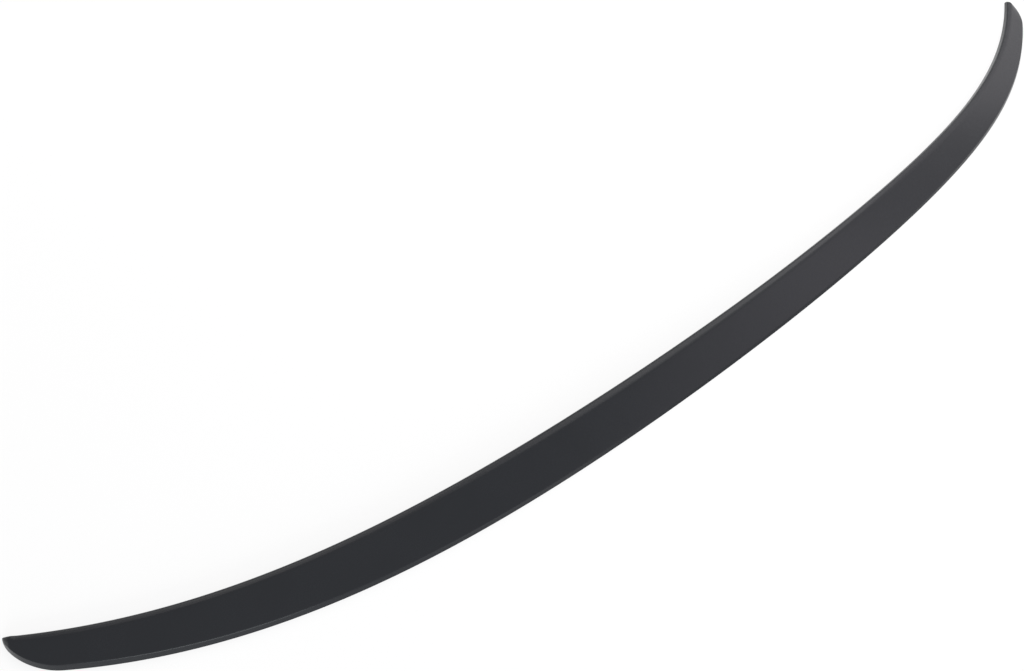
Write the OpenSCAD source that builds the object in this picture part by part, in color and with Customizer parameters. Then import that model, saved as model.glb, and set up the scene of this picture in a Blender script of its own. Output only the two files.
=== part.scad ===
// Boot-lid lip spoiler: one hollow moulding, stuck to the lid by the flat lands round its underside.
// X runs across the car, +Y to the front, +Z up. The lands lie in the plane z = 0.

/* [Plan] */
// Length across the lid, from tip to tip
span = 1256; // [1000:1:1400]
// Forward sweep of the gentle arc, from the middle to a tip
arc_sweep = 52; // [20:1:80]
// Further sweep that the corners add at a tip
corner_sweep = 56; // [10:1:80]
// How late the corners turn forward
corner_power = 5.4; // [4:0.1:7]
// Depth from the lip wall to the rear foot, in the middle
blade_depth = 39.5; // [34:0.5:60]
// Depth that the taper would leave at a tip
tip_depth = 20.5; // [18:0.5:32]
// How late the blade tapers
taper_power = 4.4; // [2.5:0.1:6]
// Length of the slanted cut that rounds the rear edge into a tip
end_cut = 31; // [20:0.5:60]
// Bulge of the end cut
cut_bulge = 1.9; // [1.4:0.1:3]
// Bluntness of the nose, where less is blunter
nose_blunt = 0.6; // [0.4:0.05:0.8]

/* [Section] */
// Height of the crest in the middle
crest_height = 16; // [13:0.5:26]
// Height of the crest at a tip
tip_height = 7; // [6.5:0.25:10]
// Width of the narrow band between the lip and the crest, in the middle
band_width = 6.5; // [4:0.25:9]
// Width of the band at a tip
tip_band_width = 4.5; // [2.5:0.25:5]
// Angle at which the band rises to the crest
band_rise = 15; // [5:0.5:22]
// Radius between the lip wall and the band
lip_radius = 4; // [2:0.1:6]
// Radius of the crest, between the band and the face
crest_radius = 5; // [3:0.5:10]
// Height of the rear rim in the middle
rim_height = 2.2; // [1.5:0.1:4]
// Height of the rear rim at a tip
tip_rim_height = 5; // [3.5:0.1:5.5]
// How far the rim slopes outward from its corner to the foot
rim_run = 0.8; // [0.4:0.1:3]
// Radius between the face and the rim
rim_radius = 1.3; // [0.5:0.1:2]
// Length over which the nose rises to full height
nose_run = 5; // [3:0.5:12]
// How far the front toe reaches out in front of the lip wall
toe_reach = 2; // [0.5:0.1:5]
// Thickness of the toe's edge
toe_edge = 1.2; // [0.8:0.1:2]

/* [Shell] */
// Wall of the moulding
wall = 2.8; // [2:0.1:3.4]
// Width of the adhesive land along the front, from the toe's edge
front_land = 8; // [7:0.5:10]
// Width of the adhesive land along the rear
rear_land = 10; // [7:0.5:12]
// Rise of the gusset that carries the front land
gusset_rise = 3; // [2:0.25:3.5]
// Length of the solid end, from a tip
solid_end = 42; // [36:1:70]

/* [Ribs] */
// Number of hollow bays between the solid ends
bays = 14; // [6:1:16]
// Thickness of the rib between two bays
rib_wall = 2; // [1.5:0.1:3]
// Clearance that keeps the ribs off the lid
rib_clearance = 1; // [0.5:0.1:1.5]

/* [Hidden] */

shell_color = "#2b2d31";

// Sections along each bay and each end, and points along each curve of a section
bay_steps = 6;
end_steps = 16;
toe_steps = 5;
lip_steps = 6;
crest_steps = 5;
edge_steps = 4;
inner_steps = 2;

// The nose stops this far short of a point
nose_flat = 0.05;
// Most of the depth that a land, the band or the rim's slope may take near a tip
land_share = 0.35;
band_share = 0.35;
run_share = 0.3;
// Most of a side that the round at its corner may take
round_share = 0.45;
// Slope at which the crest comes down where the nose narrows, and how roundly the nose rises
nose_slope = 0.9;
nose_round = 0.5;
// Radius inside the lip
inner_radius = 1.2;

half_span = span / 2;
u_cut = 1 - end_cut / half_span;
u_bays = 1 - solid_end / half_span;
u_nose = 1 - nose_flat / half_span;

// The lip wall's line in plan, with u from -1 at the left tip to 1 at the right
function path_y(u) = arc_sweep * pow(abs(u), 2) + corner_sweep * pow(abs(u), corner_power);
function path_slope(u) = sign(u) / half_span * (2 * arc_sweep * abs(u)
    + corner_power * corner_sweep * pow(abs(u), corner_power - 1));
function path_stretch(u) = norm([1, path_slope(u)]);
// Unit vector towards the rear, square to the line
function rearward(u) = [path_slope(u), -1] / path_stretch(u);

// Blends a middle value to a tip value along the span
function along(u, middle, tip) = tip + (middle - tip) * (1 - u * u);

function taper(u) = blade_depth + (tip_depth - blade_depth) * pow(abs(u), taper_power);
function cut_run(u) = max(0, (abs(u) - u_cut) / (1 - u_cut));
function depth(u) = taper(u) * pow(1 - pow(cut_run(u), cut_bulge), nose_blunt);
function nose_rise(u) = pow(min(1, (1 - abs(u)) * half_span / nose_run), nose_round);
function rim(u) = along(u, rim_height, tip_rim_height) * nose_rise(u);
function rim_slope(u) = min(rim_run, run_share * depth(u));
function band(u) = min(along(u, band_width, tip_band_width), band_share * depth(u));
function crest(u) = min(along(u, crest_height, tip_height) * nose_rise(u),
    rim(u) + nose_slope * (depth(u) - rim_slope(u) - band(u)));
function lip(u) = crest(u) - band(u) * tan(band_rise);
function toe(u) = toe_reach * pow(1 - u * u, 2);
function toe_top(u) = min(toe_edge, land_share * lip(u));

// Corners of the section before they are rounded: lip, crest, rim and rear foot, as [distance rearward, height]
function lip_corner(u) = [0, lip(u)];
function crest_corner(u) = [band(u), crest(u)];
function rim_corner(u) = [depth(u) - rim_slope(u), rim(u)];
function foot_corner(u) = [depth(u), 0];

function unit(v) = v / norm(v);
function arc(centre, r, from, to, steps) =
    [for (k = [0:steps]) let (a = from + (to - from) * k / steps) centre + r * [cos(a), sin(a)]];

// Arc that rounds corner b between a and c, going over the top from front to rear
function rounded(a, b, c, r, steps) =
    let (to_a = unit(a - b), to_c = unit(c - b), half = acos(to_a * to_c) / 2,
         reach = min(r / tan(half), round_share * min(norm(a - b), norm(c - b))),
         centre = b + unit(to_a + to_c) * reach / cos(half),
         out = b + to_a * reach - centre, start = atan2(out[1], out[0]))
    arc(centre, reach * tan(half), start, start - (180 - 2 * half), steps);

// Place inside a corner, one wall from both of its sides
function inside(a, b, c) =
    let (to_a = unit(a - b), to_c = unit(c - b), half = acos(to_a * to_c) / 2)
    b + unit(to_a + to_c) * wall / sin(half);

// Outer section, from the front foot over the lip to the rear foot
function outer_section(u) =
    let (lip_round = rounded([0, 0], lip_corner(u), crest_corner(u), lip_radius, lip_steps),
         low = toe_top(u), high = lip_round[0][1])
    concat(
        [[-toe(u), 0]],
        [for (k = [0:toe_steps - 1]) let (g = k / toe_steps)
            [-toe(u) * pow(1 - g, 2), low + (high - low) * g * g]],
        lip_round,
        rounded(lip_corner(u), crest_corner(u), rim_corner(u), crest_radius, crest_steps),
        rounded(crest_corner(u), rim_corner(u), foot_corner(u), rim_radius, edge_steps),
        [foot_corner(u)]
    );

function front_foot(u) = min(front_land - toe(u), land_share * depth(u));
function rear_foot(u) = depth(u) - min(rear_land, land_share * depth(u));

// Hollow's section, from the front land up its gusset and over the inside of the lip to the rear land
function inner_section(u) =
    let (front = [front_foot(u), 0], gusset_top = [wall, gusset_rise], rear = rear_foot(u),
         under_lip = inside([0, 0], lip_corner(u), crest_corner(u)),
         under_crest = inside(lip_corner(u), crest_corner(u), rim_corner(u)),
         face = unit(rim_corner(u) - crest_corner(u)),
         rear_top = under_crest + face * (rear - under_crest[0]) / face[0])
    concat(
        [front, front + (gusset_top - front) * rib_clearance / gusset_rise, gusset_top],
        rounded(gusset_top, under_lip, under_crest, inner_radius, inner_steps),
        rounded(under_lip, under_crest, rear_top, crest_radius - wall, inner_steps),
        [rear_top, [rear, rib_clearance], [rear, 0]]
    );

// Stations: each end closes in on its nose, and each bay stops half a rib short of the next
function rib_half(u) = rib_wall / 2 / half_span / path_stretch(u);
function bay_mark(b) = u_bays * (2 * b / bays - 1);
function bay_from(b) = bay_mark(b) + (b > 0 ? rib_half(bay_mark(b)) : 0);
function bay_to(b) = bay_mark(b + 1) - (b < bays - 1 ? rib_half(bay_mark(b + 1)) : 0);
function end_station(k) = u_bays + (u_nose - u_bays) * sin(90 * k / end_steps);

stations = concat(
    [for (k = [end_steps:-1:1]) -end_station(k)],
    [for (b = [0:bays - 1], k = [0:bay_steps]) bay_from(b) + (bay_to(b) - bay_from(b)) * k / bay_steps],
    [for (k = [1:end_steps]) end_station(k)]
);

bay_rows = bay_steps + 1;
last_row = len(stations) - 1;
first_bay_row = end_steps;
last_bay_row = first_bay_row + bays * bay_rows - 1;

function in_bays(row) = row >= first_bay_row && row < last_bay_row;
function is_rib(row) = in_bays(row) && (row - first_bay_row) % bay_rows == bay_steps;
function is_bay(row) = in_bays(row) && !is_rib(row);

outer_count = len(outer_section(0));
inner_count = len(inner_section(0));
row_count = outer_count + inner_count;

// Places a section on its station, in the part's frame with the origin under the middle of its box
y_centre = (path_y(u_nose) - blade_depth) / 2;
function placed(u) = let (out = rearward(u))
    [for (p = concat(outer_section(u), inner_section(u)))
        [half_span * u + out[0] * p[0], path_y(u) + out[1] * p[0] - y_centre, p[1]]];

// Point numbers of a row
function outer_at(row, k) = row * row_count + k;
function inner_at(row, k) = row * row_count + outer_count + k;
front_ground = 0;
front_rise = 1;
rear_rise = inner_count - 2;
rear_ground = inner_count - 1;
outer_rear = outer_count - 1;

// Two triangles over the patch between two rows, seen from above and from below
function patch_up(a, b, c, d) = [[a, b, c], [a, c, d]];
function patch_down(a, b, c, d) = [[a, c, b], [a, d, c]];
function fan(ring) = [for (k = [1:len(ring) - 2]) [ring[0], ring[k], ring[k + 1]]];
function flipped(faces) = [for (f = faces) [f[0], f[2], f[1]]];

function skin(row) = [for (k = [0:outer_count - 2], t = patch_up(
    outer_at(row, k), outer_at(row + 1, k), outer_at(row + 1, k + 1), outer_at(row, k + 1))) t];

function ceiling(row, from, to) = [for (k = [from:to - 1], t = patch_down(
    inner_at(row, k), inner_at(row + 1, k), inner_at(row + 1, k + 1), inner_at(row, k + 1))) t];

function underside(row, from, to) = patch_down(
    inner_at(row, from), inner_at(row + 1, from), inner_at(row + 1, to), inner_at(row, to));

function lands(row) = concat(
    patch_down(outer_at(row, 0), outer_at(row + 1, 0), inner_at(row + 1, front_ground), inner_at(row, front_ground)),
    patch_down(inner_at(row, rear_ground), inner_at(row + 1, rear_ground),
        outer_at(row + 1, outer_rear), outer_at(row, outer_rear))
);

function rib_foot(row) = concat(
    ceiling(row, front_ground, front_rise),
    underside(row, front_rise, rear_rise),
    ceiling(row, rear_rise, rear_ground)
);

function row_faces(row) = concat(
    skin(row),
    lands(row),
    is_bay(row) ? ceiling(row, front_ground, rear_ground)
        : is_rib(row) ? rib_foot(row)
        : underside(row, front_ground, rear_ground)
);

// Wall that closes a bay, down to the rib's foot or, at a solid end, down to the ground
top_inside = 3 + floor(inner_steps / 2);
function closing_wall(row, from, to) = fan(concat(
    [for (k = [top_inside:to]) inner_at(row, k)], [for (k = [from:top_inside - 1]) inner_at(row, k)]));

function nose_wall(row) =
    let (top = 1 + toe_steps + floor(lip_steps / 2))
    fan(concat(
        [for (k = [top:outer_rear]) outer_at(row, k)],
        [inner_at(row, rear_ground), inner_at(row, front_ground)],
        [for (k = [0:top - 1]) outer_at(row, k)]
    ));

function bay_walls(b) =
    let (left = first_bay_row + b * bay_rows, right = left + bay_steps,
         left_from = b > 0 ? front_rise : front_ground, left_to = b > 0 ? rear_rise : rear_ground,
         right_from = b < bays - 1 ? front_rise : front_ground,
         right_to = b < bays - 1 ? rear_rise : rear_ground)
    concat(
        flipped(closing_wall(left, left_from, left_to)),
        closing_wall(right, right_from, right_to)
    );

module spoiler() {
    color(shell_color)
        polyhedron(
            points = [for (u = stations, p = placed(u)) p],
            faces = concat(
                [for (row = [0:last_row - 1], f = row_faces(row)) f],
                [for (b = [0:bays - 1], f = bay_walls(b)) f],
                nose_wall(0),
                flipped(nose_wall(last_row))
            )
        );
}

spoiler();
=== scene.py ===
"""Boot-lid lip spoiler on its CAD frame: one satin black moulding with fine edges, on a pale floor."""
from __future__ import annotations

import logging
import math
from collections.abc import Callable
from dataclasses import dataclass, field
from enum import Enum, IntEnum

import bpy
import numpy as np
from mathutils import Matrix, Vector


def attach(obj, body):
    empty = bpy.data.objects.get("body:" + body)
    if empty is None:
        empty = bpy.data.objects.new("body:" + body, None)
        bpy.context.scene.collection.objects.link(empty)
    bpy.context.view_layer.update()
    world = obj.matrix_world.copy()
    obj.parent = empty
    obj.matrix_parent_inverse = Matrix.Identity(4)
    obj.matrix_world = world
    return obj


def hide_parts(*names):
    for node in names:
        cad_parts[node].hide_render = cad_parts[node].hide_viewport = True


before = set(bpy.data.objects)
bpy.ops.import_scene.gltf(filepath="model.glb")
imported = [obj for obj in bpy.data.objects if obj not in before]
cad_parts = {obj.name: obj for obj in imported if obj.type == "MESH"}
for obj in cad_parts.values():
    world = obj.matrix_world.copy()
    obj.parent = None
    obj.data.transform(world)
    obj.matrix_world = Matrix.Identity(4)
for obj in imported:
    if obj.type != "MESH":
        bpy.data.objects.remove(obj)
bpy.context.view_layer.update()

MM = 0.001
ARC_SHARE = 0.45  # most of a corner's side that the arc round the corner may take
NOISE_MEAN = 0.5  # what a noise swings about
NEAR = 0.01  # how far off its level a vertex of the blank may be
STATION, COLUMN, RADIUS = range(3)  # what the label of a vertex of the blank holds

Colour = tuple[float, float, float, float]
Tint = tuple[float, float, float]

log = logging.getLogger("spoiler")


class Stretch(Enum):
    """What lies under the skin between two neighbouring stations."""

    SOLID = "solid end"
    BAY = "hollow bay"
    RIB = "rib"


class Level(Enum):
    """How deep the underside is pressed into the blank, as the distance that is left to the blank's axis."""

    LAND = 1.0
    RIB_FOOT = 0.8
    CEILING = 0.6


class Element(Enum):
    """Kinds of mesh element that can be selected."""

    FACE = "FACE"
    EDGE = "EDGE"


class MixSocket(IntEnum):
    """Places of a colour Mix node's sockets, whose names its other kinds of socket share."""

    SHARE = 0
    FIRST = 6
    SECOND = 7
    RESULT = 2


@dataclass(frozen=True)
class Signal:
    """One output socket of a node, on which Python's operators add Math nodes."""

    graph: NodeGraph
    socket: bpy.types.NodeSocket

    def _math(self, operation: str, first: Signal | float, second: Signal | float) -> Signal:
        """Adds one Math node for an operation on two values."""
        return self.graph.add("ShaderNodeMath", {"operation": operation}, {0: first, 1: second})

    def __add__(self, other: Signal | float) -> Signal:
        """This value plus another."""
        return self._math("ADD", self, other)

    def __radd__(self, other: Signal | float) -> Signal:
        """Another value plus this one."""
        return self._math("ADD", other, self)

    def __sub__(self, other: Signal | float) -> Signal:
        """This value less another."""
        return self._math("SUBTRACT", self, other)

    def __rsub__(self, other: Signal | float) -> Signal:
        """Another value less this one."""
        return self._math("SUBTRACT", other, self)

    def __mul__(self, other: Signal | float) -> Signal:
        """This value times another."""
        return self._math("MULTIPLY", self, other)

    def __rmul__(self, other: Signal | float) -> Signal:
        """Another value times this one."""
        return self._math("MULTIPLY", other, self)

    def largest(self, other: Signal | float) -> Signal:
        """The larger of this value and another."""
        return self._math("MAXIMUM", self, other)


class NodeGraph:
    """The node tree of one material or world, which starts empty."""

    def __init__(self, owner: bpy.types.Material | bpy.types.World) -> None:
        """Clears the owner's tree.

        Args:
            owner: the material or world that the nodes belong to.
        """
        owner.use_nodes = True
        self.tree = owner.node_tree
        self.tree.nodes.clear()

    def add(self, kind: str, settings: dict[str, object] | None = None,
            sockets: dict[str | int, object] | None = None, output: str | int = 0) -> Signal:
        """Adds a node of any type.

        Args:
            kind: Blender's name for the type of node.
            settings: the node's own settings, set before its sockets.
            sockets: for each input socket its value, or the signal that is linked to it.
            output: the output socket that the result stands for.

        Returns:
            The signal that the chosen output gives.
        """
        node = self.tree.nodes.new(kind)
        for name, value in (settings or {}).items():
            setattr(node, name, value)
        for name, value in (sockets or {}).items():
            if isinstance(value, Signal):
                self.tree.links.new(value.socket, node.inputs[name])
            else:
                node.inputs[name].default_value = value
        return Signal(self, node.outputs[output] if node.outputs else None)

    def noise(self, place: Signal, size: float, detail: float, roughness: float) -> Signal:
        """Adds a noise in space.

        Args:
            place: the coordinates that the noise follows.
            size: how far it is about from one patch to the next, in metres.
            detail: number of finer layers on top of the patches.
            roughness: how much the finer layers count.

        Returns:
            A value that swings about NOISE_MEAN.
        """
        return self.add("ShaderNodeTexNoise", {"noise_dimensions": "3D"}, {
            "Vector": place, "Scale": 1 / size, "Detail": detail, "Roughness": roughness,
        })

    def blend(self, share: Signal | float, first: Signal | Colour, second: Signal | Colour) -> Signal:
        """Mixes two colours through a colour Mix node.

        Args:
            share: how much of the second colour shows.
            first: colour or signal shown where the share is 0.
            second: colour or signal shown where the share is 1.

        Returns:
            The mixed colour.
        """
        return self.add("ShaderNodeMix", {"data_type": "RGBA"}, {
            MixSocket.SHARE: share, MixSocket.FIRST: first, MixSocket.SECOND: second,
        }, MixSocket.RESULT)


@dataclass(frozen=True)
class SatinMoulding:
    """Unpainted black plastic off a finely eroded mould, a little cloudy where the melt flowed."""

    name: str = "satin_black_moulding"
    dark: Colour = (0.0191, 0.0204, 0.0234, 1)
    light: Colour = (0.0222, 0.0236, 0.0272, 1)
    roughness: float = 0.27
    roughness_swing: float = 0.05
    specular_level: float = 0.16
    cloud_size: float = 45 * MM
    cloud_detail: float = 3.0
    cloud_roughness: float = 0.55
    grain_size: float = 0.45 * MM
    grain_detail: float = 2.0
    grain_roughness: float = 0.6
    grain_depth: float = 0.02 * MM
    grain_strength: float = 0.35

    def make(self) -> bpy.types.Material:
        """Builds the material.

        Returns:
            A material whose colour, roughness and grain follow the Object coordinates.
        """
        material = bpy.data.materials.new(self.name)
        graph = NodeGraph(material)
        place = graph.add("ShaderNodeTexCoord", output="Object")
        clouds = graph.noise(place, self.cloud_size, self.cloud_detail, self.cloud_roughness)
        grain = graph.noise(place, self.grain_size, self.grain_detail, self.grain_roughness)
        relief = graph.add("ShaderNodeBump", None, {
            "Strength": self.grain_strength, "Distance": self.grain_depth, "Height": grain,
        })
        satin = graph.add("ShaderNodeBsdfPrincipled", None, {
            "Base Color": graph.blend(clouds, self.dark, self.light),
            "Roughness": self.roughness + self.roughness_swing * (clouds + grain - 2 * NOISE_MEAN),
            "Specular IOR Level": self.specular_level,
            "Normal": relief,
        })
        graph.add("ShaderNodeOutputMaterial", None, {"Surface": satin})
        return material


@dataclass(frozen=True)
class PaleFloor:
    """Matt white paper, which the camera and reflections see close to white while it keeps a soft shadow."""

    name: str = "pale_floor"
    paper: Colour = (0.94, 0.94, 0.94, 1)
    white: Colour = (1, 1, 1, 1)
    roughness: float = 0.9
    white_share: float = 0.8

    def make(self) -> bpy.types.Material:
        """Builds the material.

        Returns:
            A material that mixes lit paper with plain white for the rays that show a background.
        """
        material = bpy.data.materials.new(self.name)
        graph = NodeGraph(material)
        paper = graph.add("ShaderNodeBsdfPrincipled", None, {
            "Base Color": self.paper, "Roughness": self.roughness, "Specular IOR Level": 0.0,
        })
        white = graph.add("ShaderNodeEmission", None, {"Color": self.white, "Strength": 1.0})
        shown = background_rays(graph) * self.white_share
        graph.add("ShaderNodeOutputMaterial", None, {
            "Surface": graph.add("ShaderNodeMixShader", None, {0: shown, 1: paper, 2: white}),
        })
        return material


def background_rays(graph: NodeGraph) -> Signal:
    """Tells the rays that show a background from those that only light the object.

    Args:
        graph: the node tree that asks.

    Returns:
        1 for a camera, glossy or transmission ray, and 0 for any other.
    """
    camera, glossy, through = (graph.add("ShaderNodeLightPath", output=name)
                               for name in ("Is Camera Ray", "Is Glossy Ray", "Is Transmission Ray"))
    return camera.largest(glossy).largest(through)


@dataclass(frozen=True)
class BladeShape:
    """Plan and section of the blade in metres, with u from -1 at the left tip to 1 at the right."""

    # Plan: the lip wall's line sweeps forward to the tips, and the blade gets shallower along it.
    span: float = 1256 * MM
    arc_sweep: float = 52 * MM
    corner_sweep: float = 56 * MM
    corner_power: float = 5.4
    blade_depth: float = 39.5 * MM
    tip_depth: float = 20.5 * MM
    taper_power: float = 4.4

    # Noses: each end is cut at a slant and rounded off.
    end_cut: float = 31 * MM
    cut_bulge: float = 1.9
    nose_blunt: float = 0.6
    nose_flat: float = 0.05 * MM
    nose_run: float = 5 * MM
    nose_slope: float = 0.9
    nose_round: float = 0.5

    # Top: lip, narrow band, crest and the face that slopes to the rear.
    crest_height: float = 16 * MM
    tip_height: float = 7 * MM
    band_width: float = 6.5 * MM
    tip_band_width: float = 4.5 * MM
    band_rise: float = math.radians(15)
    band_share: float = 0.35
    lip_radius: float = 4 * MM
    crest_radius: float = 5 * MM

    # Rear rim: soft in the middle and crisp at the tips.
    rim_height: float = 2.2 * MM
    tip_rim_height: float = 5 * MM
    rim_run: float = 2.3 * MM
    tip_rim_run: float = 2.5 * MM
    run_share: float = 0.3
    rim_radius: float = 3 * MM
    tip_rim_radius: float = 1.1 * MM

    # Front toe, which fades towards the tips.
    toe_reach: float = 2 * MM
    toe_edge: float = 1.2 * MM
    toe_fade: int = 2

    # Underside: an even wall over the hollow, with a land for the tape along the front and the rear.
    wall: float = 2.8 * MM
    inner_radius: float = 1.2 * MM
    front_land: float = 8 * MM
    rear_land: float = 10 * MM
    land_share: float = 0.35
    gusset_rise: float = 3 * MM
    rib_clearance: float = 1 * MM

    @property
    def half_span(self) -> float:
        """Distance from the middle to a tip."""
        return self.span / 2

    def path_y(self, u: float) -> float:
        """Forward place of the lip wall's line."""
        return self.arc_sweep * u * u + self.corner_sweep * abs(u) ** self.corner_power

    def box_middle(self, nose: float = 1) -> float:
        """Forward place of the box's middle, for a blade that runs to this place of its noses."""
        return (self.path_y(nose) - self.blade_depth) / 2

    def rearward(self, u: float) -> np.ndarray:
        """Finds the direction in which the blade's depth is laid.

        Args:
            u: place along the blade.

        Returns:
            A unit vector in plan towards the rear, square to the lip wall's line.
        """
        arc = 2 * self.arc_sweep * abs(u)
        corner = self.corner_power * self.corner_sweep * abs(u) ** (self.corner_power - 1)
        slope = math.copysign(1, u) / self.half_span * (arc + corner)
        return np.array([slope, -1]) / math.hypot(1, slope)

    def stretch(self, u: float) -> float:
        """Length of the lip wall's line for a unit of length across the car."""
        return -1 / self.rearward(u)[1]

    def along(self, u: float, middle: float, tip: float) -> float:
        """Blends a middle value to a tip value along the span."""
        return tip + (middle - tip) * (1 - u * u)

    def depth(self, u: float) -> float:
        """Measures the blade from the lip wall to the rear foot.

        Args:
            u: place along the blade.

        Returns:
            The depth with the taper and the end cut.
        """
        taper = self.blade_depth + (self.tip_depth - self.blade_depth) * abs(u) ** self.taper_power
        cut_from = 1 - self.end_cut / self.half_span
        run = max(0.0, (abs(u) - cut_from) / (1 - cut_from))
        return taper * (1 - run ** self.cut_bulge) ** self.nose_blunt

    def nose_rise(self, u: float) -> float:
        """Share of its full height that the blade has near the end of a nose."""
        return min(1.0, (1 - abs(u)) * self.half_span / self.nose_run) ** self.nose_round

    def rim(self, u: float) -> float:
        """Height of the rear rim."""
        return self.along(u, self.rim_height, self.tip_rim_height) * self.nose_rise(u)

    def rim_slope(self, u: float) -> float:
        """How far the rim slopes outward from its corner to the foot."""
        return min(self.along(u, self.rim_run, self.tip_rim_run), self.run_share * self.depth(u))

    def rim_round(self, u: float) -> float:
        """Radius between the face and the rim."""
        return self.along(u, self.rim_radius, self.tip_rim_radius)

    def band(self, u: float) -> float:
        """Width of the narrow band between the lip and the crest."""
        return min(self.along(u, self.band_width, self.tip_band_width), self.band_share * self.depth(u))

    def crest(self, u: float) -> float:
        """Finds the height of the crest.

        Args:
            u: place along the blade.

        Returns:
            The height, held down near a nose so that the face gets no steeper than the nose's slope.
        """
        height = self.along(u, self.crest_height, self.tip_height) * self.nose_rise(u)
        run = self.depth(u) - self.rim_slope(u) - self.band(u)
        return min(height, self.rim(u) + self.nose_slope * run)

    def corners(self, u: float) -> tuple[np.ndarray, ...]:
        """Lays out the section's corners before they are rounded.

        Args:
            u: place along the blade.

        Returns:
            Lip, crest, rim and rear foot, each with its distance rearward and its height.
        """
        depth, band, crest = self.depth(u), self.band(u), self.crest(u)
        lip_height = crest - band * math.tan(self.band_rise)
        return (np.array([0.0, lip_height]), np.array([band, crest]),
                np.array([depth - self.rim_slope(u), self.rim(u)]), np.array([depth, 0.0]))

    def toe(self, u: float) -> float:
        """Reach of the front toe in front of the lip wall."""
        return self.toe_reach * (1 - u * u) ** self.toe_fade

    def front_foot(self, u: float) -> float:
        """Rear edge of the land along the front."""
        return min(self.front_land - self.toe(u), self.land_share * self.depth(u))

    def rear_foot(self, u: float) -> float:
        """Front edge of the land along the rear."""
        return self.depth(u) - min(self.rear_land, self.land_share * self.depth(u))


def unit(vector: np.ndarray) -> np.ndarray:
    """A vector of length 1 along another."""
    return vector / np.hypot(*vector)


def half_angle(before: np.ndarray, corner: np.ndarray, after: np.ndarray) -> float:
    """Half of the angle at a corner between its two sides."""
    return math.acos(float(unit(before - corner) @ unit(after - corner))) / 2


def rounded(before: np.ndarray, corner: np.ndarray, after: np.ndarray, radius: float,
            steps: int) -> np.ndarray:
    """Rounds a corner with an arc that goes over the top from front to rear.

    Args:
        before: the point ahead of the corner.
        corner: the corner.
        after: the point behind it.
        radius: the arc's radius, unless it would take more than ARC_SHARE of the shorter side.
        steps: number of equal steps along the arc.

    Returns:
        One row for each point of the arc.
    """
    to_before, to_after = unit(before - corner), unit(after - corner)
    half = half_angle(before, corner, after)
    shorter_side = min(np.hypot(*(before - corner)), np.hypot(*(after - corner)))
    reach = min(radius / math.tan(half), ARC_SHARE * shorter_side)
    centre = corner + unit(to_before + to_after) * reach / math.cos(half)
    first = corner + to_before * reach - centre
    start = math.atan2(first[1], first[0])
    angles = np.linspace(start, start - (math.pi - 2 * half), steps + 1)
    return centre + reach * math.tan(half) * np.column_stack([np.cos(angles), np.sin(angles)])


def inside(before: np.ndarray, corner: np.ndarray, after: np.ndarray, wall: float) -> np.ndarray:
    """The place inside a corner that lies one wall from both of its sides."""
    inward = unit(unit(before - corner) + unit(after - corner))
    return corner + inward * wall / math.sin(half_angle(before, corner, after))


def between(ahead: np.ndarray, behind: np.ndarray, steps: int) -> np.ndarray:
    """Points inside the straight stretch from the end of one curve to the start of the next."""
    return np.linspace(ahead[-1], behind[0], steps + 1)[1:-1]


@dataclass(frozen=True)
class Layout:
    """Where each ring and column of the blank goes, with the skin's points first in a section."""

    places: list[float]
    kinds: list[Stretch]
    skins: np.ndarray
    unders: list[dict[Level, np.ndarray]]

    @property
    def rings(self) -> int:
        """Number of stations."""
        return len(self.places)

    @property
    def outer(self) -> int:
        """Number of points on the skin of one section."""
        return self.skins.shape[1]

    @property
    def columns(self) -> int:
        """Number of points all round one section."""
        return self.outer + len(self.unders[0][Level.LAND])

    def point(self, station: int, column: int, level: Level) -> np.ndarray:
        """Looks up one point of a section.

        Args:
            station: number of the station.
            column: number of the point round the section, front foot first.
            level: how deep the point is pressed, if it lies on the underside.

        Returns:
            Its distance rearward and its height.
        """
        if column < self.outer:
            return self.skins[station, column]
        return self.unders[station][level][self.columns - 1 - column]


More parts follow.
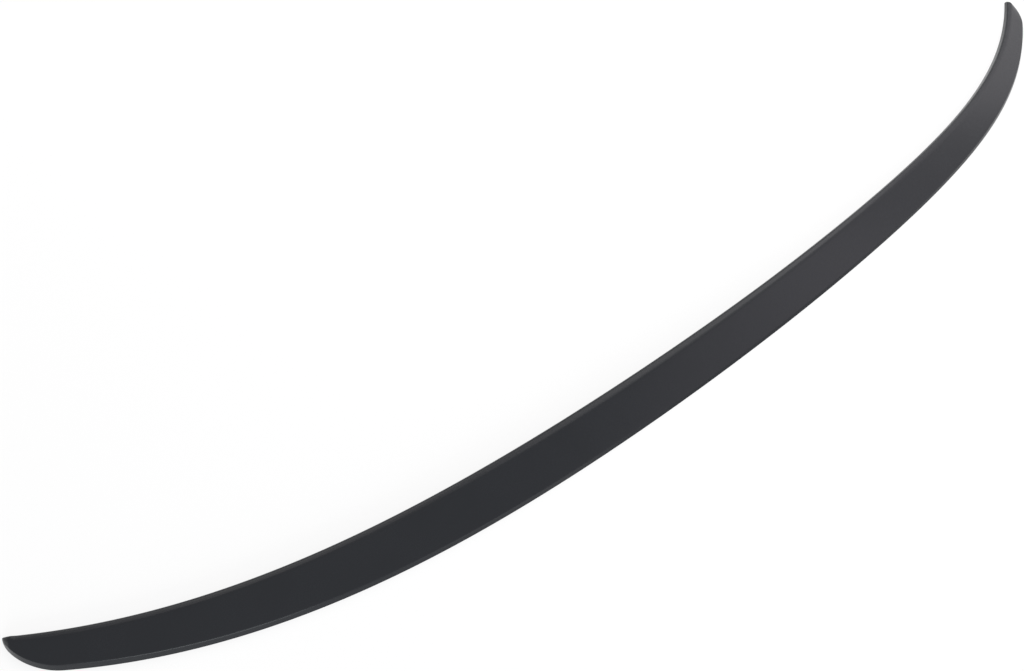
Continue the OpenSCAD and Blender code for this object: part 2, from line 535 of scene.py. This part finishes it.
@dataclass
class Moulding:
    """The spoiler, one hollow moulding: a blank with bays pressed into it, laid on the blade's shape."""

    shape: BladeShape
    node: str = "spoiler"
    body: str = "root"
    slot: str = "matt_moulding"
    finish: SatinMoulding = field(default_factory=SatinMoulding)
    solid_end: float = 42 * MM
    bays: int = 14
    rib_wall: float = 2 * MM
    foot_bevel: float = 0.4 * MM
    sharp_angle: float = math.radians(32)
    blank_length: float = 2.0

    # How finely each stretch of the span and of the section is divided.
    bay_steps: int = 20
    end_steps: int = 44
    toe_steps: int = 10
    lip_steps: int = 12
    band_steps: int = 3
    crest_steps: int = 12
    face_steps: int = 8
    edge_steps: int = 8
    rim_steps: int = 3
    ceiling_steps: int = 5
    foot_segments: int = 2

    def rib_side(self, u: float) -> float:
        """Distance in u from the middle of a rib that stands at this place to its side."""
        return self.rib_wall / 2 / self.shape.half_span / self.shape.stretch(u)

    def stations(self) -> tuple[list[float], list[Stretch]]:
        """Lays out the stations from tip to tip.

        Returns:
            The stations, and what lies between each one and the next.
        """
        half = self.shape.half_span
        u_bays, u_nose = 1 - self.solid_end / half, 1 - self.shape.nose_flat / half
        marks = [u_bays * (2 * bay / self.bays - 1) for bay in range(self.bays + 1)]
        tip = [u_bays + (u_nose - u_bays) * math.sin(math.pi / 2 * k / self.end_steps)
               for k in range(1, self.end_steps + 1)]
        places = [-u for u in reversed(tip)]
        kinds = [Stretch.SOLID] * self.end_steps
        for left, right in zip(marks, marks[1:]):
            start = left if left == marks[0] else left + self.rib_side(left)
            end = right if right == marks[-1] else right - self.rib_side(right)
            places += list(np.linspace(start, end, self.bay_steps + 1))
            kinds += [Stretch.BAY] * self.bay_steps + [Stretch.RIB]
        kinds[-1] = Stretch.SOLID
        return places + tip, kinds + [Stretch.SOLID] * (self.end_steps - 1)

    def skin(self, u: float) -> np.ndarray:
        """Draws the section of the skin from the front foot over the lip to the rear foot.

        Args:
            u: place along the blade.

        Returns:
            One row for each point, with its distance rearward and its height.
        """
        s = self.shape
        lip, crest, rim, foot = s.corners(u)
        toe, low = s.toe(u), min(s.toe_edge, s.land_share * lip[1])
        nose = rounded(np.zeros(2), lip, crest, s.lip_radius, self.lip_steps)
        rise = np.linspace(0, 1, self.toe_steps + 1)[:-1]
        front = np.column_stack([-toe * (1 - rise) ** 2, low + (nose[0][1] - low) * rise ** 2])
        top = rounded(lip, crest, rim, s.crest_radius, self.crest_steps)
        edge = rounded(crest, rim, foot, s.rim_round(u), self.edge_steps)
        return np.vstack([
            [[-toe, 0]], front, nose, between(nose, top, self.band_steps), top,
            between(top, edge, self.face_steps), edge, np.linspace(edge[-1], foot, self.rim_steps + 1)[1:],
        ])

    def ceiling(self, u: float) -> np.ndarray:
        """Draws the section of the hollow's ceiling, one wall under the skin.

        Args:
            u: place along the blade.

        Returns:
            One row for each point, from the gusset's top over the inside of the lip to the rear wall's top.
        """
        s = self.shape
        lip, crest, rim, _ = s.corners(u)
        gusset = np.array([s.wall, s.gusset_rise])
        under_lip, under_crest = inside(np.zeros(2), lip, crest, s.wall), inside(lip, crest, rim, s.wall)
        face = unit(rim - crest)
        rear_top = under_crest + face * (s.rear_foot(u) - under_crest[0]) / face[0]
        lip_arc = rounded(gusset, under_lip, under_crest, s.inner_radius, self.ceiling_steps)
        crest_arc = rounded(under_lip, under_crest, rear_top, s.crest_radius - s.wall, self.ceiling_steps)
        return np.vstack([[gusset], lip_arc, crest_arc, [rear_top]])

    def under(self, u: float) -> dict[Level, np.ndarray]:
        """Draws the sections of the underside between the two feet.

        Args:
            u: place along the blade.

        Returns:
            For each level one row for each point, front to rear.
        """
        s = self.shape
        ceiling = self.ceiling(u)
        front, rear = np.array([s.front_foot(u), 0.0]), np.array([s.rear_foot(u), 0.0])
        gusset = front + (ceiling[0] - front) * s.rib_clearance / s.gusset_rise
        return {
            Level.LAND: np.linspace(front, rear, len(ceiling)),
            Level.RIB_FOOT: np.linspace(gusset, rear + [0, s.rib_clearance], len(ceiling)),
            Level.CEILING: ceiling,
        }

    def layout(self) -> Layout:
        """Draws the section at every station."""
        places, kinds = self.stations()
        skins, unders = np.array([self.skin(u) for u in places]), [self.under(u) for u in places]
        return Layout(places, kinds, skins, unders)

    def blank(self, layout: Layout) -> bpy.types.Object:
        """Adds the straight blank, a closed cylinder along Z with a ring for each station.

        Args:
            layout: the sections that the blank is made for.

        Returns:
            The blank, left in edit mode.
        """
        bpy.ops.object.select_all(action="DESELECT")
        bpy.ops.mesh.primitive_cylinder_add(vertices=layout.columns, radius=Level.LAND.value,
                                            depth=self.blank_length, end_fill_type="NGON")
        blank = bpy.context.object

        def end_to_end(edge: bpy.types.MeshEdge) -> bool:
            """Whether an edge runs along the blank."""
            first, second = (blank.data.vertices[vertex].co.z for vertex in edge.vertices)
            return abs(first - second) > self.blank_length / 2

        bpy.ops.object.mode_set(mode="EDIT")
        select(blank, Element.EDGE, end_to_end)
        bpy.ops.mesh.subdivide_edgering(number_cuts=layout.rings - 2, interpolation="LINEAR", smoothness=0)
        return blank

    def labels(self, mesh: bpy.types.Mesh, layout: Layout) -> np.ndarray:
        """Reads each vertex of the blank as its station, its column and its distance from the axis.

        The cylinder's first edge lies at +Y, so columns are counted from there.

        Args:
            mesh: the straight blank.
            layout: the sections that the blank is made for.

        Returns:
            One row for each vertex, with its values at STATION, COLUMN and RADIUS.
        """
        co = np.empty(len(mesh.vertices) * 3)
        mesh.vertices.foreach_get("co", co)
        x, y, z = co.reshape(-1, 3).T
        station = np.rint((z / self.blank_length + 0.5) * (layout.rings - 1))
        column = np.rint(np.arctan2(x, y) / math.tau * layout.columns) % layout.columns
        return np.column_stack([station, column, np.hypot(x, y)])

    def build(self) -> bpy.types.Object:
        """Models the moulding.

        Returns:
            The finished mesh object, with its place in its mesh.
        """
        layout = self.layout()
        piece = self.blank(layout)
        self.press(piece, layout, Level.RIB_FOOT, (Stretch.BAY, Stretch.RIB))
        self.press(piece, layout, Level.CEILING, (Stretch.BAY,))
        bpy.ops.object.mode_set(mode="OBJECT")
        marks = self.labels(piece.data, layout)
        self.lay(piece.data, layout, marks)
        self.ease_feet(piece, layout, marks)
        bpy.ops.object.mode_set(mode="EDIT")
        bpy.ops.mesh.select_all(action="SELECT")
        bpy.ops.mesh.normals_make_consistent(inside=False)
        bpy.ops.object.mode_set(mode="OBJECT")
        bpy.ops.object.shade_smooth_by_angle(angle=self.sharp_angle)
        return piece

    def press(self, piece: bpy.types.Object, layout: Layout, level: Level,
              hollow: tuple[Stretch, ...]) -> None:
        """Extrudes the blank's underside inwards over the hollow stretches.

        Args:
            piece: the blank, in edit mode.
            layout: the sections that the blank is made for.
            level: the level that the pressed faces come to.
            hollow: the kinds of stretch that are pressed.
        """
        bpy.ops.object.mode_set(mode="OBJECT")
        marks = self.labels(piece.data, layout)
        deepest = marks[:, RADIUS].min()

        def pressed(face: bpy.types.MeshPolygon) -> bool:
            """Whether a face lies over a hollow stretch, between the feet, at the deepest level so far."""
            corners = marks[list(face.vertices)]
            return (np.ptp(corners[:, STATION]) == 1 and corners[:, COLUMN].min() >= layout.outer
                    and corners[:, RADIUS].max() < deepest + NEAR
                    and layout.kinds[int(corners[:, STATION].min())] in hollow)

        bpy.ops.object.mode_set(mode="EDIT")
        select(piece, Element.FACE, pressed)
        bpy.ops.mesh.extrude_region_move()
        share = level.value / deepest
        bpy.ops.transform.resize(value=(share, share, 1), center_override=(0, 0, 0))

    def lay(self, mesh: bpy.types.Mesh, layout: Layout, marks: np.ndarray) -> None:
        """Moves each vertex of the blank to its place on the blade.

        Args:
            mesh: the pressed blank.
            layout: the sections that the blank is laid on.
            marks: station, column and distance from the axis of each vertex.
        """
        y_centre = self.shape.box_middle(layout.places[-1])
        laid = np.empty((len(marks), 3))
        for index, (station, column, radius) in enumerate(marks):
            u = layout.places[int(station)]
            level = min(Level, key=lambda choice: abs(choice.value - radius))
            back, height = layout.point(int(station), int(column), level)
            rearward = self.shape.rearward(u)
            laid[index] = (self.shape.half_span * u + rearward[0] * back,
                           self.shape.path_y(u) + rearward[1] * back - y_centre, height)
        mesh.vertices.foreach_set("co", laid.ravel())
        mesh.update()

    def ease_feet(self, piece: bpy.types.Object, layout: Layout, marks: np.ndarray) -> None:
        """Bevels the mouth of the hollow and the feet of the ribs.

        Args:
            piece: the laid blank.
            layout: the sections that it is laid on.
            marks: station, column and distance from the axis of each vertex.
        """
        hollow = [k for k, kind in enumerate(layout.kinds) if kind is not Stretch.SOLID]
        mouth_ends = {hollow[0], hollow[-1] + 1}
        mouth_sides = {layout.outer, layout.columns - 1}
        ribs = {k + side for k, kind in enumerate(layout.kinds) if kind is Stretch.RIB for side in (0, 1)}

        def foot(edge: bpy.types.MeshEdge) -> bool:
            """Tells the edges round the hollow's mouth and along the feet of the ribs.

            Args:
                edge: an edge of the laid blank.

            Returns:
                Whether the edge is bevelled.
            """
            (s1, c1, r1), (s2, c2, r2) = marks[list(edge.vertices)]
            if min(c1, c2) < layout.outer or abs(r1 - r2) > NEAR:
                return False
            if abs(r1 - Level.RIB_FOOT.value) < NEAR:
                return s1 == s2 and s1 in ribs
            if abs(r1 - Level.LAND.value) > NEAR:
                return False
            across = s1 == s2 and s1 in mouth_ends
            lengthways = c1 == c2 and c1 in mouth_sides and hollow[0] <= min(s1, s2) <= hollow[-1]
            return across or lengthways

        bpy.ops.object.mode_set(mode="EDIT")
        select(piece, Element.EDGE, foot)
        bpy.ops.mesh.bevel(offset=self.foot_bevel, segments=self.foot_segments, affect="EDGES",
                           clamp_overlap=True)
        bpy.ops.object.mode_set(mode="OBJECT")

    def dress(self, piece: bpy.types.Object) -> None:
        """Gives the moulding its finish and ties it to the CAD.

        Args:
            piece: the finished mesh object.
        """
        piece.name = piece.data.name = "spoiler_moulding"
        piece.data.materials.clear()
        piece.data.materials.append(self.finish.make())
        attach(piece, self.body)
        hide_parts(self.node)


def select(piece: bpy.types.Object, kind: Element,
           chosen: Callable[[bpy.types.MeshEdge | bpy.types.MeshPolygon], bool]) -> None:
    """Selects faces or edges of a piece by their place, with all others deselected.

    Args:
        piece: the mesh object, in edit mode, where it stays.
        kind: the kind of element.
        chosen: tells whether an element of the mesh is selected.
    """
    bpy.ops.mesh.select_mode(type=kind.value)
    bpy.ops.mesh.select_all(action="DESELECT")
    bpy.ops.object.mode_set(mode="OBJECT")
    elements = piece.data.polygons if kind is Element.FACE else piece.data.edges
    elements.foreach_set("select", [chosen(element) for element in elements])
    bpy.ops.object.mode_set(mode="EDIT")


@dataclass(frozen=True)
class Softbox:
    """A soft lamp that faces the frame's origin, told by where it stands as seen from there."""

    name: str
    azimuth: float
    elevation: float
    power: float
    width: float = 0.8
    height: float = 0.8
    distance: float = 1.6
    colour: Tint = (1.0, 1.0, 1.0)

    def place(self) -> None:
        """Adds the lamp."""
        turn, lift = math.radians(self.azimuth), math.radians(self.elevation)
        away = Vector((math.sin(turn) * math.cos(lift), -math.cos(turn) * math.cos(lift), math.sin(lift)))
        bpy.ops.object.light_add(type="AREA", location=away * self.distance)
        lamp = bpy.context.object
        lamp.name = lamp.data.name = self.name
        lamp.rotation_euler = away.to_track_quat("Z", "Y").to_euler()
        lamp.data.shape = "RECTANGLE"
        lamp.data.size, lamp.data.size_y = self.width, self.height
        lamp.data.energy = self.power
        lamp.data.color = self.colour
        lamp.visible_camera = False


@dataclass(frozen=True)
class PhotoCamera:
    """The photograph's camera, held by its angles over the lip wall's line in plan."""

    azimuth: float = -56.75
    elevation: float = 58.029
    roll: float = 19.371
    aside: float = -220.093 * MM
    above: float = -37.853 * MM
    distance: float = 796.397 * MM
    focal_pixels: float = 872.396
    image_width: int = 1024
    sensor_width: float = 36.0

    def place(self, y_centre: float) -> None:
        """Adds the camera and makes it the scene's.

        Args:
            y_centre: place of the frame's origin ahead of the lip wall's line at the middle.
        """
        turn, lift, roll = (math.radians(angle) for angle in (self.azimuth, self.elevation, self.roll))
        ahead = Vector((-math.sin(turn) * math.cos(lift), math.cos(turn) * math.cos(lift), -math.sin(lift)))
        level = Vector((math.cos(turn), math.sin(turn), 0))
        upright = level.cross(ahead)
        right = level * math.cos(roll) + upright * math.sin(roll)
        up = upright * math.cos(roll) - level * math.sin(roll)
        stand = right * self.aside + up * self.above - ahead * self.distance - Vector((0, y_centre, 0))
        bpy.ops.object.camera_add()
        camera = bpy.context.object
        camera.name = camera.data.name = "photo_camera"
        turned = Matrix((right, up, -ahead)).transposed().to_4x4()
        camera.matrix_world = Matrix.Translation(stand) @ turned
        camera.data.sensor_fit = "HORIZONTAL"
        camera.data.sensor_width = self.sensor_width
        camera.data.lens = self.focal_pixels * self.sensor_width / self.image_width
        bpy.context.scene.camera = camera


@dataclass
class Studio:
    """Pale floor, soft lamps, a plain pale surround and the camera."""

    floor_size: float = 30.0
    floor: PaleFloor = field(default_factory=PaleFloor)
    surround: Colour = (1.0, 1.0, 1.0, 1)
    surround_level: float = 0.53
    lamps: tuple[Softbox, ...] = (
        Softbox("rear_softbox", 0, 12, power=3.2),
        Softbox("rear_left_softbox", -45, 12, power=12.0, colour=(0.96, 1.01, 1.03)),
        Softbox("right_low_softbox", 95, 12, power=1.3, colour=(1.02, 0.98, 1.02)),
        Softbox("right_softbox", 103, 31, power=1.8, width=1.2, colour=(1.03, 0.96, 1.04)),
        Softbox("right_fill_softbox", 66, 31, power=0.9, colour=(1.03, 0.96, 1.04)),
        Softbox("right_high_softbox", 90, 58, power=2.2),
        Softbox("rear_right_softbox", 41, 33, power=2.8, width=1.2, colour=(1.03, 0.95, 1.04)),
        Softbox("front_right_softbox", 135, 33, power=6.0, width=1.0, colour=(1.01, 1.0, 1.0)),
        Softbox("front_right_high_softbox", 135, 58, power=3.8),
        Softbox("front_softbox", 180, 33, power=6.0, colour=(1.02, 1.0, 0.98)),
    )
    camera: PhotoCamera = field(default_factory=PhotoCamera)

    def lay_floor(self) -> None:
        """Adds the floor, wide enough that its edge lies outside the photograph's view."""
        bpy.ops.object.select_all(action="DESELECT")
        bpy.ops.mesh.primitive_plane_add(size=self.floor_size)
        floor = bpy.context.object
        floor.name = floor.data.name = "floor"
        floor.data.materials.append(self.floor.make())

    def light(self) -> None:
        """Lights the world and places the lamps."""
        world = bpy.data.worlds.new("surround")
        bpy.context.scene.world = world
        graph = NodeGraph(world)
        graph.add("ShaderNodeOutputWorld", None, {
            "Surface": graph.add("ShaderNodeBackground", None, {
                "Color": self.surround, "Strength": self.surround_level,
            }),
        })
        for lamp in self.lamps:
            lamp.place()

    def build(self, y_centre: float) -> None:
        """Sets the whole studio up.

        Args:
            y_centre: place of the frame's origin ahead of the lip wall's line at the middle.
        """
        self.lay_floor()
        self.light()
        self.camera.place(y_centre)
        bpy.context.scene.view_settings.view_transform = "Standard"


def corners(box: tuple[Vector, Vector]) -> list[list[float]]:
    """Lowest and highest corner of a box as plain lists."""
    return [list(corner) for corner in box]


def main() -> None:
    """Builds the moulding, dresses it and sets up the studio."""
    logging.basicConfig(level=logging.INFO, format="%(name)s: %(message)s")
    shape = BladeShape()
    moulding = Moulding(shape)
    piece = moulding.build()
    moulding.dress(piece)
    log.info("%s: %d faces", piece.name, len(piece.data.polygons))
    Studio().build(shape.box_middle())
    log.info("sizes written")


if __name__ == "__main__":
    main()
